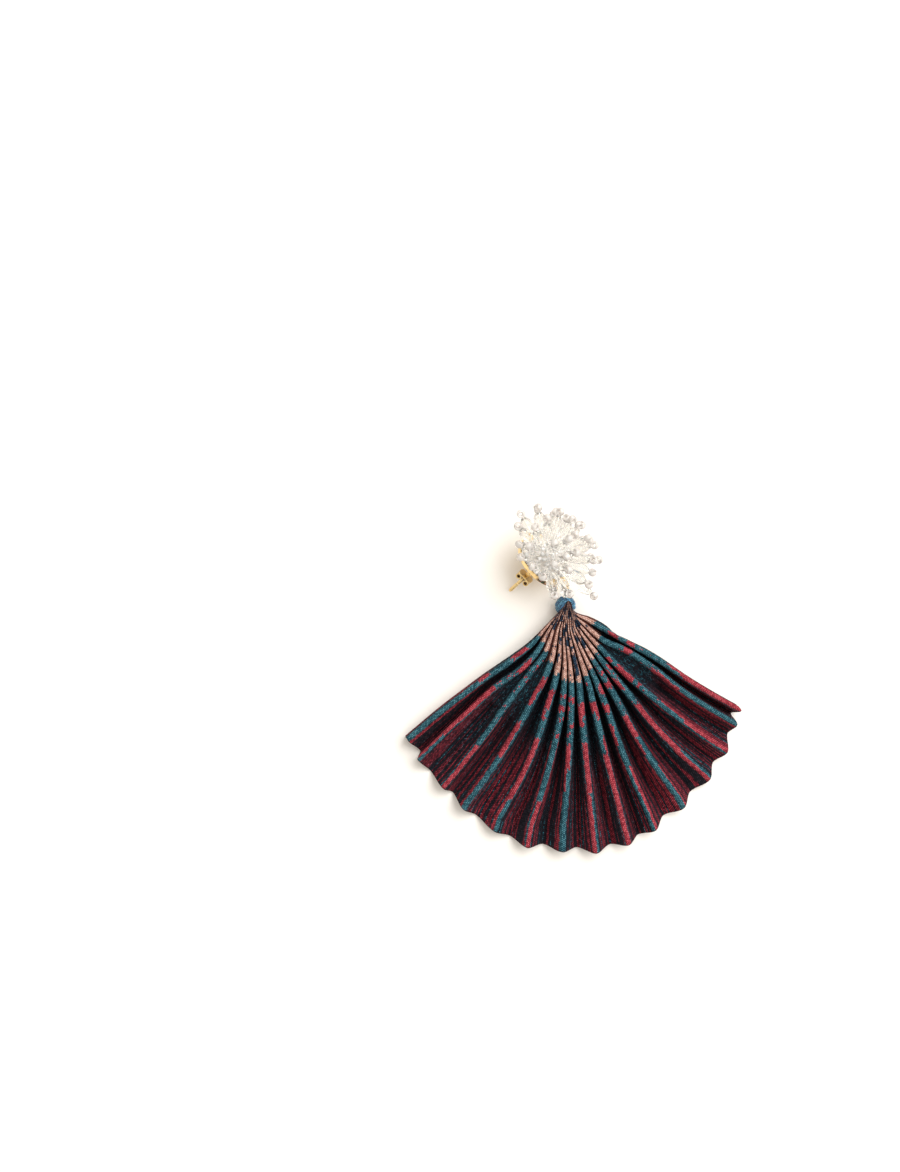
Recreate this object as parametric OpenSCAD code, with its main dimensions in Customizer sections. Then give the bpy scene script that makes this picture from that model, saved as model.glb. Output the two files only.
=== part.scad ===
/* [Fan] */
// Thickness of the cloth measured square to its surface at the rim
cloth_wall = 1.06; // [1:0.02:1.4]
// How far a valley's rim lies behind the two crests beside it
rim_notch = 1.7; // [0.5:0.1:2.5]
// How far the outer flank of each end crest stands out, in degrees about the binding
end_flank = 1; // [0.8:0.1:1.6]
// Steps across each half pleat
flank_steps = 3; // [2:1:4]

/* [Binding] */
// Diameter of the ball of thread that binds the neck
wrap_d = 5.3; // [5:0.1:5.8]
// Diameter of the thread that carries the fan
thread_d = 0.5; // [0.3:0.05:0.6]
// Length of the link crystal
link_len = 3; // [2.4:0.1:3.4]
// Width of the link crystal
link_wide = 2.5; // [2:0.1:3]

/* [Stud] */
// Diameter of the plate's front rim
plate_d = 14.6; // [13.6:0.1:15]
// Depth of the plate from its front rim to its back
plate_depth = 1.6; // [1.4:0.1:2]
// Metal thickness of the plate
plate_wall = 0.5; // [0.4:0.05:0.6]
// Diameter of the ear post
post_d = 0.9; // [0.7:0.05:1]
// Length of the ear post behind the plate
post_len = 10.8; // [10:0.1:11.4]

/* [Ear nut] */
// Distance between the plate's back and the nut, where the ear lobe goes
ear_gap = 4.3; // [2:0.1:5]
// Radial clearance between the nut's hole and the post
nut_clearance = 0.05; // [0.03:0.01:0.09]
// Outside diameter of each curl
curl_d = 1.5; // [1.3:0.05:1.7]
// Length of each curl
curl_len = 2.6; // [2:0.1:3]
// Thickness of the nut's sheet metal
nut_wall = 0.3; // [0.25:0.05:0.35]

/* [Cluster] */
// Radius of the sewn mound that the crystals stand on
mound_r = 4.2; // [3.8:0.1:4.2]
// Diameter of a tip bead
tip_d = 2.1; // [1.8:0.1:2.1]
// Width of a tip bead along its hole
tip_wide = 1.5; // [1.2:0.1:1.7]
// Diameter of the holes in the crystals
crystal_hole = 0.5; // [0.3:0.05:0.5]
// Gap between the pieces threaded on one thread
thread_gap = 0.1; // [0.05:0.05:0.3]

/* [Hidden] */
$fn = 64;

// The crests of the fan from left to right, one row each. The three angles are turned from
// straight down the fan towards the right: at the neck, at the shoulder and at the rim.
// reach is how far the crest's rim lies from the binding.
CREST_NECK = 0;
CREST_SHOULDER = 1;
CREST_RIM = 2;
CREST_REACH = 3;
CRESTS = [
    // neck, shoulder, rim, reach
    [-46.5, -55, -55.8, 51.4],
    [-36, -45.5, -50, 52.7],
    [-28, -37, -40, 54.5],
    [-19, -26, -32, 56.6],
    [-11.5, -16, -24, 58.9],
    [-5, -8, -15, 60.9],
    [0, -3, -6.5, 61.5],
    [5, 3, 1, 62.2],
    [11, 10.5, 9, 61.7],
    [17, 16, 17, 60.1],
    [23.5, 23, 25, 58.2],
    [30, 30, 34.5, 56.3],
    [36, 38, 43.5, 54.1],
    [42, 49, 50.7, 51.5],
    [55, 54.5, 53.6, 50.6],
];
// Where the crests turn, measured from the binding
NECK_AT = 7;
BEND_AT = 20;
SHOULDER_AT = 28;
LONGEST = 62.2;

// Slope of the flanks at the rim
RIM_SLOPE = 45;
// The neck is round where it is bound and flattens as it opens
ROUND_NECK = 0.8;
ROUND_UNTIL = 14;
// How far the pleats' meeting point lies above the middle of the binding
gather_rise = 0.8;

// Sections across the fan from the binding to the rim, one row each: its distance from the
// binding, the drop from a crest to a valley, the upright thickness of the cloth there, and the
// height of its underside above the table. Inside the neck the pleats lie packed together.
ROW_AT = 0;
ROW_DROP = 1;
ROW_THICK = 2;
ROW_LIFT = 3;
ROWS = [
    // at, drop, thick, lift
    [0.9, 0.15, 1.2, 3.6],
    [2, 0.3, 2.5, 2.4],
    [2.8, 0.4, 3.3, 1.55],
    [3.8, 0.6, 3.9, 0.75],
    [5.5, 0.9, 4.1, 0.25],
    [8.5, 1.3, 4.1, 0],
    [12, 1.8, 3.8, 0],
    [16, 2.4, 3.4, 0],
    [20, 2.8, 3.0, 0],
    [25, 3.2, 2.6, 0],
    [30, 3.4, 2.3, 0],
    [36, 3.6, 2.1, 0],
    [42, 3.7, 1.9, 0],
    [48, 3.7, 1.7, 0],
    [54, 3.6, 1.6, 0],
    [LONGEST, 3.5, cloth_wall / cos(RIM_SLOPE), 0],
];

// The crystals, one row each: turn around the plate from the end of its rim beside the link and
// up over its top, lean away from the plate's axis, distance of the tip bead, and widest part.
STALK_TURN = 0;
STALK_LEAN = 1;
STALK_REACH = 2;
STALK_WIDE = 3;
STALKS = [
    // turn, lean, reach, wide
    [70, 7, 11, 2.2],
    [206, 14, 12.3, 2.4],
    [262, 21, 11.5, 2.4],
    [88, 23, 11.6, 2.2],
    [311, 25, 11.5, 2.3],
    [350, 26, 13.1, 2.4],
    [182, 28, 13, 2.5],
    [49, 32, 11.3, 2.2],
    [160, 40, 11.7, 2.4],
    [240, 43, 11.2, 2.5],
    [270, 40, 12.2, 2.9],
    [300, 43, 11.8, 2.8],
    [215, 45, 11.7, 2.6],
    [101, 42, 11.6, 2.8],
    [358, 42, 12.3, 2.3],
    [68, 44, 11.4, 2.2],
    [338, 49, 13, 2.4],
    [182, 54, 13, 3],
    [142, 55, 11.6, 2.9],
    [52, 56, 11.2, 2.4],
    [77, 60, 11.6, 2.4],
    [258, 65, 12, 3],
    [284, 64, 12, 3],
    [310, 68, 12.5, 3],
    [234, 68, 12.2, 3],
    [15, 66, 13.4, 3.2],
    [118, 70, 11.5, 3.1],
    [176, 74, 12.8, 3],
    [332, 72, 12.5, 3],
    [205, 68, 12.5, 3],
    [356, 82, 15.1, 3.2],
    [50, 91, 12.5, 3],
    [154, 76, 12, 2.9],
    [30, 84, 12, 2.9],
    [72, 88, 9, 2.5],
    [95, 88, 9, 2.5],
    [117, 92, 9.8, 2.7],
    [136, 86, 9.8, 2.3],
];
STALK_COUNT = len(STALKS);
// How many tip beads are held in one group
TIPS_PER_GROUP = 7;

// The object's own place on the table: the middle of the binding, then the middle of the
// plate's front rim measured from the binding
knot_at = [0.75, 17.95, wrap_d / 2];
plate_from_knot = [-4.9, 11.45, 4.3];
plate_at = knot_at + plate_from_knot;
// The plate faces up by its lift and turns towards the upper right
plate_lift = 30;
plate_heading = 37;
plate_r = plate_d / 2;
// Its side narrows from the rim to a shoulder, and on to the flat back
plate_side_r = plate_r - 0.3;
plate_back_r = plate_r - 1.1;
side_share = 0.6;
floor_at = plate_wall - plate_depth;
// The mound's middle lies this far in front of the rim, and its foot fills the plate
mound_rise = 1.6;
foot_gap = 0.05;
foot_top = 0.25;
foot_r = plate_back_r - plate_wall - 0.1;

post_r = post_d / 2;
post_tip = plate_depth + post_len;
// The post's end tapers
post_point = 0.5;
post_point_r = post_r * 0.45;
// A shallow groove around the post, where a nut clicks home before it can slip off
notch_wide = 0.6;
notch_deep = 0.12;
notch_from_tip = 3.1;
nut_hole_r = post_r + nut_clearance;
nut_at = plate_depth + ear_gap;
nut_base = [4.1, 2.9];
curl_r = curl_d / 2;
// The curls just meet the hole and sink a little into the base
curl_side = nut_hole_r + curl_r - 0.02;
curl_up = nut_wall + curl_r - 0.06;

tip_r = tip_d / 2;
tip_hole_d = 0.7;
stalk_from = mound_r + thread_gap;

// The directions of the plate's axis and of the end of its rim beside the link
plate_axis = [
    cos(plate_lift) * cos(plate_heading),
    cos(plate_lift) * sin(plate_heading),
    sin(plate_lift),
];
rim_axis = [sin(plate_heading), -cos(plate_heading), 0];

// The thread leaves the binding, rises over the plate's rim and ends against the sewn mound
over_rim = plate_at + rim_axis * (plate_r + 0.6) + plate_axis * 0.75;
at_mound = plate_at + rim_axis * (mound_r + 1) + plate_axis * 0.95;
// A small knot where it turns over the rim
thread_knot_d = thread_d + 0.14;
// It starts inside the binding, this far from its middle
thread_from = 1.2;
thread_way = (over_rim - knot_at) / norm(over_rim - knot_at);
thread_start = knot_at + thread_way * thread_from;
link_at = wrap_d / 2 + thread_gap + link_len / 2;
link_end_r = 0.4 * link_wide / 2;
link_belt = 0.12 * link_len;

// The ball's open side: a cone from a point above the ball's middle, leaning up over the front
mouth_from = [0, 1.1, 0];
mouth_half_angle = 57;
mouth_way = [0, -cos(24), sin(24)];

CRYSTAL_NODES = [for (i = [1:STALK_COUNT]) str("crystal_", i)];
TIP_GROUPS = ceil(STALK_COUNT / TIPS_PER_GROUP);
TIP_NODES = [for (i = [1:TIP_GROUPS]) str("tip_beads_", i)];

// Smooth passage from 0 to 1 as x goes from a to b
function ease(x, a, b) = let (t = min(1, max(0, (x - a) / (b - a)))) t * t * (3 - 2 * t);

// The angle of one crest at a distance from the binding
function crest_angle(i, at) = let (
    c = CRESTS[i],
    to_shoulder = ease(at, NECK_AT, SHOULDER_AT),
    to_rim = ease(at, BEND_AT, LONGEST)
) c[CREST_NECK] + (c[CREST_SHOULDER] - c[CREST_NECK]) * to_shoulder
    + (c[CREST_RIM] - c[CREST_SHOULDER]) * to_rim;

CREST_COUNT = len(CRESTS);
LAST_PLEAT = 2 * CREST_COUNT;
// A place across the pleats counts half pleats from the left end, so crests are the odd ones
function left_crest(p) = min(CREST_COUNT - 1, max(0, floor((p - 1) / 2)));
function right_crest(p) = min(CREST_COUNT - 1, left_crest(p) + 1);
function past_crest(p) = (p - 1) / 2 - left_crest(p);
function across(p, left, right) = left + (right - left) * past_crest(p);
function pleat_angle(p, at) =
    p < 1 ? crest_angle(0, at) - end_flank * (1 - p)
    : p > LAST_PLEAT - 1 ? crest_angle(CREST_COUNT - 1, at) + end_flank * (p - LAST_PLEAT + 1)
    : across(p, crest_angle(left_crest(p), at), crest_angle(right_crest(p), at));
function crest_wave(p) = let (t = abs((p + 1) % 2 - 1)) 1 - t * (0.75 + 0.25 * t);
function pleat_reach(p) = let (
    from = p < 1 ? 0 : left_crest(p),
    to = p > LAST_PLEAT - 1 ? CREST_COUNT - 1 : right_crest(p),
    share = p < 1 || p > LAST_PLEAT - 1 ? 0 : past_crest(p),
    crest = CRESTS[from][CREST_REACH] * (1 - share) + CRESTS[to][CREST_REACH] * share
) crest - rim_notch * sin(90 * abs((p + 1) % 2 - 1));

// One point of the cloth, on its upper face where side is 1 and on its underside where it is 0
function cloth_point(row, p, side) = let (
    at = row[ROW_AT],
    out = at + (pleat_reach(p) - LONGEST) * pow(at / LONGEST, 2),
    angle = pleat_angle(p, at),
    edge = (p - CREST_COUNT) / CREST_COUNT,
    roundness = ROUND_NECK * (1 - ease(at, ROUND_UNTIL / 4, ROUND_UNTIL)),
    pinch = sqrt(1 - roundness * edge * edge),
    middle = row[ROW_LIFT] + (row[ROW_DROP] + row[ROW_THICK]) / 2,
    wave = row[ROW_DROP] * (crest_wave(p) - 0.5),
    z = middle + pinch * (wave + row[ROW_THICK] * (side - 0.5)),
    gather_y = gather_rise * (1 - min(1, at / ROUND_UNTIL))
) [knot_at[0] + out * sin(angle), knot_at[1] + gather_y - out * cos(angle), z];

PLACES = LAST_PLEAT * flank_steps;
cloth_points = [
    for (row = ROWS, side = [0, 1], k = [0:PLACES]) cloth_point(row, k / flank_steps, side)
];
function cloth_id(row, side, k) = (row * 2 + side) * (PLACES + 1) + k;
LAST_ROW = len(ROWS) - 1;
// Two triangles for each small field; the corners run clockwise seen from outside
function field(a, b, c, d) = [[a, b, c], [a, c, d]];
cloth_faces = [
    for (r = [0:LAST_ROW - 1], k = [0:PLACES - 1], t = field(
        cloth_id(r, 1, k), cloth_id(r, 1, k + 1), cloth_id(r + 1, 1, k + 1), cloth_id(r + 1, 1, k))) t,
    for (r = [0:LAST_ROW - 1], k = [0:PLACES - 1], t = field(
        cloth_id(r, 0, k), cloth_id(r + 1, 0, k), cloth_id(r + 1, 0, k + 1), cloth_id(r, 0, k + 1))) t,
    for (r = [0:LAST_ROW - 1], t = field(
        cloth_id(r, 0, 0), cloth_id(r, 1, 0), cloth_id(r + 1, 1, 0), cloth_id(r + 1, 0, 0))) t,
    for (r = [0:LAST_ROW - 1], t = field(
        cloth_id(r, 0, PLACES), cloth_id(r + 1, 0, PLACES),
        cloth_id(r + 1, 1, PLACES), cloth_id(r, 1, PLACES))) t,
    for (k = [0:PLACES - 1], t = field(
        cloth_id(0, 0, k), cloth_id(0, 0, k + 1), cloth_id(0, 1, k + 1), cloth_id(0, 1, k))) t,
    for (k = [0:PLACES - 1], t = field(
        cloth_id(LAST_ROW, 0, k), cloth_id(LAST_ROW, 1, k),
        cloth_id(LAST_ROW, 1, k + 1), cloth_id(LAST_ROW, 0, k + 1))) t,
];

// Pleated cloth fan, packed at the neck and open at the rim
module fan_cloth() {
    color("darkslategray") polyhedron(points = cloth_points, faces = cloth_faces, convexity = 20);
}

// Turns a child's upright axis along a direction
module along(way) {
    rotate([0, acos(way[2] / norm(way)), atan2(way[1], way[0])]) children();
}

// Ball of thread around the neck, open on the side where the pleats come out
module thread_wrap() {
    color("steelblue") difference() {
        translate(knot_at) sphere(d = wrap_d);
        translate(knot_at + mouth_from) along(mouth_way)
            cylinder(r1 = 0.01, r2 = wrap_d * tan(mouth_half_angle), h = wrap_d);
        translate(knot_at) along(thread_way) cylinder(d = thread_d + 2 * thread_gap, h = wrap_d);
    }
}

// Thread that runs from the binding through the link crystal and over the plate's rim
module hanging_thread() {
    color("teal") {
        translate(thread_start) along(thread_way)
            cylinder(d = thread_d, h = norm(over_rim - thread_start));
        translate(over_rim) sphere(d = thread_knot_d);
        translate(over_rim) along(at_mound - over_rim)
            cylinder(d = thread_d, h = norm(at_mound - over_rim));
    }
}

// Cut crystal standing on its inner end: rings of eight corners from end to end
CUT_AT = 0;
CUT_WIDE = 1;
CUTS = [
    // share of the length, share of the widest part
    [0, 0.36],
    [0.3, 0.68],
    [0.65, 1],
    [0.86, 0.8],
    [1, 0.42],
];
CUT_SIDES = 8;
module cut_crystal(length, wide) {
    rings = len(CUTS);
    points = [
        for (c = CUTS, s = [0:CUT_SIDES - 1])
            let (a = 360 * s / CUT_SIDES, r = c[CUT_WIDE] * wide / 2)
            [r * cos(a), r * sin(a), c[CUT_AT] * length]
    ];
    faces = [
        for (g = [0:rings - 2], s = [0:CUT_SIDES - 1]) let (n = (s + 1) % CUT_SIDES)
            [g * CUT_SIDES + s, (g + 1) * CUT_SIDES + s, (g + 1) * CUT_SIDES + n, g * CUT_SIDES + n],
        [for (s = [0:CUT_SIDES - 1]) s],
        [for (s = [CUT_SIDES - 1:-1:0]) (rings - 1) * CUT_SIDES + s],
    ];
    difference() {
        polyhedron(points = points, faces = faces, convexity = 2);
        translate([0, 0, -1]) cylinder(d = crystal_hole, h = length + 2, $fn = 32);
    }
}

// Clear crystal between the binding and the cluster
module link_crystal() {
    color("aliceblue") translate(knot_at + thread_way * link_at) along(thread_way) difference() {
        rotate_extrude() polygon([
            [0, -link_len / 2],
            [link_end_r, -link_len / 2],
            [link_wide / 2, -link_belt],
            [link_wide / 2, link_belt],
            [link_end_r, link_len / 2],
            [0, link_len / 2],
        ]);
        cylinder(d = thread_d + thread_gap, h = 2 * link_len, center = true);
    }
}

// Puts a child in the plate's own frame: its axis upright, its front rim at zero
module on_plate() {
    translate(plate_at) rotate([0, 90 - plate_lift, plate_heading]) children();
}

// Shallow gold cup with the ear post soldered to its back
module stud_plate() {
    color("gold") on_plate() {
        rotate_extrude() polygon([
            [0, -plate_depth],
            [plate_back_r, -plate_depth],
            [plate_side_r, -plate_depth * side_share],
            [plate_r, 0],
            [plate_r - plate_wall, 0],
            [plate_side_r - plate_wall, floor_at * side_share],
            [plate_back_r - plate_wall, floor_at],
            [0, floor_at],
        ]);
        ear_post();
    }
}

// Ear post from its tapered tip to the plate's back, with its groove
module ear_post() {
    difference() {
        translate([0, 0, -post_tip + post_point])
            cylinder(r = post_r, h = post_len - post_point + plate_wall / 2);
        translate([0, 0, -post_tip + notch_from_tip]) rotate_extrude() polygon([
            [post_r - notch_deep, 0],
            [post_r + notch_deep, -notch_wide],
            [post_r + notch_deep, notch_wide],
        ]);
    }
    translate([0, 0, -post_tip]) cylinder(r1 = post_point_r, r2 = post_r, h = post_point);
}

// Sewn mound in the plate, wide at its foot and round above
module bead_bed() {
    foot_low = floor_at + foot_gap;
    color("linen") on_plate() {
        translate([0, 0, foot_low]) cylinder(r = foot_r, h = foot_top - foot_low);
        intersection() {
            translate([0, 0, mound_rise]) sphere(r = mound_r);
            cylinder(r = mound_r, h = mound_rise + mound_r);
        }
    }
}

// Butterfly nut: a flat base with a hole for the post, and two curls that grip the post
module ear_nut() {
    color("goldenrod") on_plate() rotate([0, 180, 0]) translate([0, 0, nut_at]) difference() {
        union() {
            linear_extrude(nut_wall) intersection() {
                square([nut_base[1], nut_base[0]], center = true);
                circle(d = nut_base[0] + 0.1);
            }
            for (side = [-1, 1])
                translate([0, side * curl_side, curl_up]) rotate([0, 90, 0])
                    difference() {
                        cylinder(r = curl_r, h = curl_len, center = true);
                        cylinder(r = curl_r - nut_wall, h = curl_len + 1, center = true);
                    }
        }
        translate([0, 0, -1]) cylinder(r = nut_hole_r, h = curl_up + curl_d + 1);
    }
}

// Puts a child on one stalk: its upright axis along the stalk, zero at the middle of the mound
module on_stalk(stalk) {
    on_plate() translate([0, 0, mound_rise])
        rotate([0, stalk[STALK_LEAN], -90 - stalk[STALK_TURN]])
            children();
}

// One clear crystal from the mound out to its tip bead
module crystal(stalk) {
    length = stalk[STALK_REACH] - tip_r - thread_gap - stalk_from;
    color("azure") on_stalk(stalk) translate([0, 0, stalk_from])
        cut_crystal(length, stalk[STALK_WIDE]);
}

// One tip bead, with its hole across the stalk
module tip_bead(stalk) {
    on_stalk(stalk) translate([0, 0, stalk[STALK_REACH]])
        rotate([0, 90, 3 * stalk[STALK_TURN]]) difference() {
            intersection() {
                sphere(d = tip_d);
                cube([tip_d + 1, tip_d + 1, tip_wide], center = true);
            }
            cylinder(d = tip_hole_d, h = tip_d + 1, center = true);
        }
}

// One group of tip beads
module tip_beads(group) {
    first = (group - 1) * TIPS_PER_GROUP;
    last = min(STALK_COUNT, first + TIPS_PER_GROUP) - 1;
    color("mistyrose") for (i = [first:last]) tip_bead(STALKS[i]);
}

fan_cloth();
thread_wrap();
hanging_thread();
link_crystal();
stud_plate();
bead_bed();
ear_nut();
for (i = [1:STALK_COUNT]) crystal(STALKS[i - 1]);
for (i = [1:TIP_GROUPS]) tip_beads(i);
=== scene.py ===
import math
import random

import bmesh
import bpy
import numpy as np
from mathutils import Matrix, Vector, noise


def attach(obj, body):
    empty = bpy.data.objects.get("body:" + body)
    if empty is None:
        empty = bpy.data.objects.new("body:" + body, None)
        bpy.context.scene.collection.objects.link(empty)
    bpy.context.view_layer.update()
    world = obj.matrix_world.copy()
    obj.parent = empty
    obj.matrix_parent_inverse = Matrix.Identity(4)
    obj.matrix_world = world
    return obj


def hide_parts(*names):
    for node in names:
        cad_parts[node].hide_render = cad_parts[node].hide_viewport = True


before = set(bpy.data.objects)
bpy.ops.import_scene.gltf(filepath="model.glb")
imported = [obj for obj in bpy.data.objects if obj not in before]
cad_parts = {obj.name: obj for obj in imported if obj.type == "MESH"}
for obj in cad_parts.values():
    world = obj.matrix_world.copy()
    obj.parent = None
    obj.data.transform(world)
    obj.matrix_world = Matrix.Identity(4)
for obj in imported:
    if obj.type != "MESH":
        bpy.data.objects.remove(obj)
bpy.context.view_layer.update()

# Camera. The earring lies on a table and is seen from straight above, slightly turned in the
# picture, the way a flat-lay photograph is taken.
MM = 0.001
SEEN_POINT = Vector((-27.37, 25.6, 0)) * MM
SEEN_LENGTH = 293 * MM
PICTURE_TURN = math.radians(-5.5)
CAMERA_HEIGHT = 700 * MM
FILM_WIDTH = 36

camera_data = bpy.data.cameras.new("camera")
camera_data.sensor_width = FILM_WIDTH
camera_data.lens = FILM_WIDTH * CAMERA_HEIGHT / SEEN_LENGTH
camera = bpy.data.objects.new("camera", camera_data)
camera.location = SEEN_POINT + Vector((0, 0, CAMERA_HEIGHT))
camera.rotation_euler = (0, 0, PICTURE_TURN)
bpy.context.scene.collection.objects.link(camera)
bpy.context.scene.camera = camera

# Table and light. A plain pale sheet of paper lies under the earring. One wide soft light stands to
# the upper right in a pale room, so that the shadows are soft and fall to the lower left.
TABLE_HALF = 1500 * MM
PAPER_GRAIN = 0.05 * MM
WINDOW_SPOT = Vector((0.5, 0.28, 0.62))
WINDOW_WIDTH = 0.85
WINDOW_WATTS = 9.2
WINDOW_COLOUR = (0.98, 1, 1.02)
ROOM_COLOUR = (1, 0.96, 0.9, 1)
# The walls are brighter than the ceiling, so the glass is bright from the sides
WALL_GLOW = 1.12
CEILING_GLOW = 0.72
CEILING_FROM = 0.75


def tint(red, green, blue, light=1.0):
    """A colour from 0 to 255 on a screen, in the shader's own scale, at this strength of light."""
    screen = np.array((red, green, blue)) / 255
    scale = np.where(screen <= 0.04045, screen / 12.92, ((screen + 0.055) / 1.055) ** 2.4)
    return (*(float(c) for c in scale / light), 1.0)


def new_finish(name, **settings):
    """A material with one surface shader; settings are its plain numbers and colours."""
    finish = bpy.data.materials.new(name)
    finish.use_nodes = True
    nodes = finish.node_tree.nodes
    nodes.clear()
    surface = nodes.new("ShaderNodeBsdfPrincipled")
    surface.name = "surface"
    output = nodes.new("ShaderNodeOutputMaterial")
    finish.node_tree.links.new(surface.outputs[0], output.inputs["Surface"])
    for socket, value in settings.items():
        surface.inputs[socket.replace("_", " ")].default_value = value
    return finish


def step(finish, kind, sockets, out=0, **settings):
    """Adds a node to a finish; sockets holds its inputs by name or number, a value or a socket."""
    made = finish.node_tree.nodes.new(kind)
    for name, value in settings.items():
        setattr(made, name, value)
    for name, value in sockets.items():
        if isinstance(value, bpy.types.NodeSocket):
            finish.node_tree.links.new(value, made.inputs[name])
        else:
            made.inputs[name].default_value = value
    return made.outputs[out]


def between(finish, value, low, high, at_low, at_high):
    """Takes value from low..high to at_low..at_high in a straight line."""
    sockets = {"Value": value, "From Min": low, "From Max": high,
               "To Min": at_low, "To Max": at_high}
    return step(finish, "ShaderNodeMapRange", sockets)


def mottle(finish, where, scale, detail=2.0, rough=0.5):
    """Cloudy noise from about 0.2 to 0.8; scale is in clouds per unit of where."""
    sockets = {"Vector": where, "Scale": scale, "Detail": detail, "Roughness": rough}
    return step(finish, "ShaderNodeTexNoise", sockets)


def coat_with(finish, **links):
    """Links sockets to the surface shader of a finish."""
    surface = finish.node_tree.nodes["surface"]
    for socket, value in links.items():
        finish.node_tree.links.new(value, surface.inputs[socket.replace("_", " ")])


def bumped(finish, height, depth):
    """Raises the surface by a height from 0 to 1 times depth."""
    sockets = {"Height": height, "Distance": depth, "Strength": 1.0}
    coat_with(finish, Normal=step(finish, "ShaderNodeBump", sockets))


def place(finish):
    """Where a point is in the row frame, in millimetres."""
    at = step(finish, "ShaderNodeTexCoord", {}, out=3)
    return step(finish, "ShaderNodeVectorMath", {0: at, 3: 1 / MM}, operation="SCALE")


def new_piece(name, points, faces, finish, smooth=True):
    """A mesh object in the row frame."""
    mesh = bpy.data.meshes.new(name)
    mesh.from_pydata([tuple(p) for p in points], [], faces)
    mesh.polygons.foreach_set("use_smooth", [smooth] * len(mesh.polygons))
    mesh.materials.append(finish)
    mesh.update()
    piece = bpy.data.objects.new(name, mesh)
    bpy.context.scene.collection.objects.link(piece)
    return piece


paper = new_finish("pale_paper", Base_Color=tint(252, 247, 240), Roughness=0.9)
bumped(paper, mottle(paper, place(paper), 0.4), PAPER_GRAIN)
corners = [(-1, -1, 0), (1, -1, 0), (1, 1, 0), (-1, 1, 0)]
table = new_piece("table_top", [Vector(c) * TABLE_HALF for c in corners], [(0, 1, 2, 3)], paper)

window = bpy.data.lights.new("window_light", "AREA")
window.size = WINDOW_WIDTH
window.energy = WINDOW_WATTS
window.color = WINDOW_COLOUR
window_light = bpy.data.objects.new("window_light", window)
window_light.location = WINDOW_SPOT
window_light.rotation_euler = (-WINDOW_SPOT).to_track_quat("-Z", "Y").to_euler()
bpy.context.scene.collection.objects.link(window_light)

room = bpy.data.worlds.new("pale_room")
bpy.context.scene.world = room
room.use_nodes = True
upward = step(room, "ShaderNodeSeparateXYZ", {0: step(room, "ShaderNodeTexCoord", {})}, out=2)
glow = between(room, upward, 0.0, CEILING_FROM, WALL_GLOW, CEILING_GLOW)
sky = room.node_tree.nodes["Background"]
sky.inputs[0].default_value = ROOM_COLOUR
room.node_tree.links.new(glow, sky.inputs[1])
bpy.context.scene.view_settings.view_transform = "Standard"
tracing = bpy.context.scene.cycles
tracing.use_denoising = True
tracing.denoising_prefilter = "NONE"
# Light passes through many facets before it leaves the crystals
tracing.max_bounces = 40
tracing.transmission_bounces = 32
tracing.transparent_max_bounces = 96
tracing.glossy_bounces = 24
tracing.diffuse_bounces = 8

# Fan. One strip of heavy cotton, warp-dyed before weaving so that its colours end in ragged dashes,
# laid in fifteen upright pleats and steamed. Its top is gathered to nothing in the binding; its
# rim is cut and left free, so the pleats open to a fan that lies on the table.
KNOT = Vector((0.75, 17.95, 2.65))
# The gathered top edge at the knot: its middle, half its width and how far its sides droop, in
# millimetres as all that follows
GATHER = KNOT + Vector((0.95, 1.75, 0))
GATHER_HALF = 0.62
GATHER_DROOP = 1.2
# How closely the right pleats keep to the ball before they turn outward
RIGHT_HOLD = 2.6
STATIONS = (6, 12, 18, 25, 35, 55)
# Each crest's angle from straight down the fan at the stations above, in degrees to the right;
# how far its tip lies from the binding; and how far over to the next crest its right valley
# lies at the rim, from 0 to 1, and how far behind the two tips
CRESTS = (
    ((-47.8, -47.5, -50, -53, -54.8, -55.4), 51.6, 0.86, 1.6),
    ((-41, -37.2, -40, -45.5, -48.1, -49.6), 53.2, 0.5, 0.65),
    ((-33.5, -29.3, -33, -35.8, -37.1, -39.6), 54.8, 0.42, 1.1),
    ((-23.5, -20.2, -21.7, -24.8, -27.6, -32.2), 56.8, 0.4, 0.8),
    ((-16.5, -12.6, -13.4, -15.6, -17.6, -23), 59.1, 0.48, 0.8),
    ((-10, -6.9, -6.3, -7.5, -10.2, -14.6), 61.1, 0.45, 1.3),
    ((-5, -2.2, -1.6, -2.4, -4, -6.2), 61.4, 0.45, 1.2),
    ((1, 3.2, 4.3, 3.2, 2.2, 1.6), 62.2, 0.45, 1.2),
    ((6.5, 9.6, 10.9, 10.1, 9.6, 9.3), 61.7, 0.42, 0.95),
    ((11.5, 14.4, 16, 16.4, 15.7, 16.3), 60.3, 0.38, 1.6),
    ((17, 20, 21.9, 23, 22.8, 24.9), 58.5, 0.38, 1.6),
    ((23, 26.3, 28.2, 29.7, 30.6, 34.3), 56.5, 0.43, 1.6),
    ((31, 33, 34.6, 36.5, 38.8, 42.6), 54.4, 0.52, 1.3),
    ((38.5, 41.3, 47.8, 49.1, 48.5, 50.1), 51.9, 0.45, 1.9),
    ((52, 54, 54, 54.4, 53.4, 53.8), 50.8, 1, 1.3),
)
MIDDLE_CREST = (len(CRESTS) - 1) / 2
HALF_COUNT = len(CRESTS) / 2
LONGEST = 62.2
FLANK_CLOTH = 6.3
CLOTH_THICK = 0.42
CREST_ROUND = 0.85
VALLEY_ROUND = 0.2
LEAST_HALF_PITCH = 0.12
# How high the crests sway and ripple, and how often in a millimetre
SWAY_HEIGHT = 0.3
SWAY_OFTEN = 0.09
RIPPLE_HEIGHT = 0.07
RIPPLE_OFTEN = 1.6
ROW_STEP = 0.5
# Distances from the crest line, along the cloth, of the mesh's columns on one flank
COLUMNS = (0, 0.22, 0.48, 0.78, 1.15, 1.65, 2.4, 3.4, 4.4, 5.3, 5.9, FLANK_CLOTH)


def eased(x, low, high):
    """Takes x from low..high to 0..1, slowly at both ends."""
    t = np.clip((x - low) / (high - low), 0, 1)
    return t * t * (3 - 2 * t)


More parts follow.
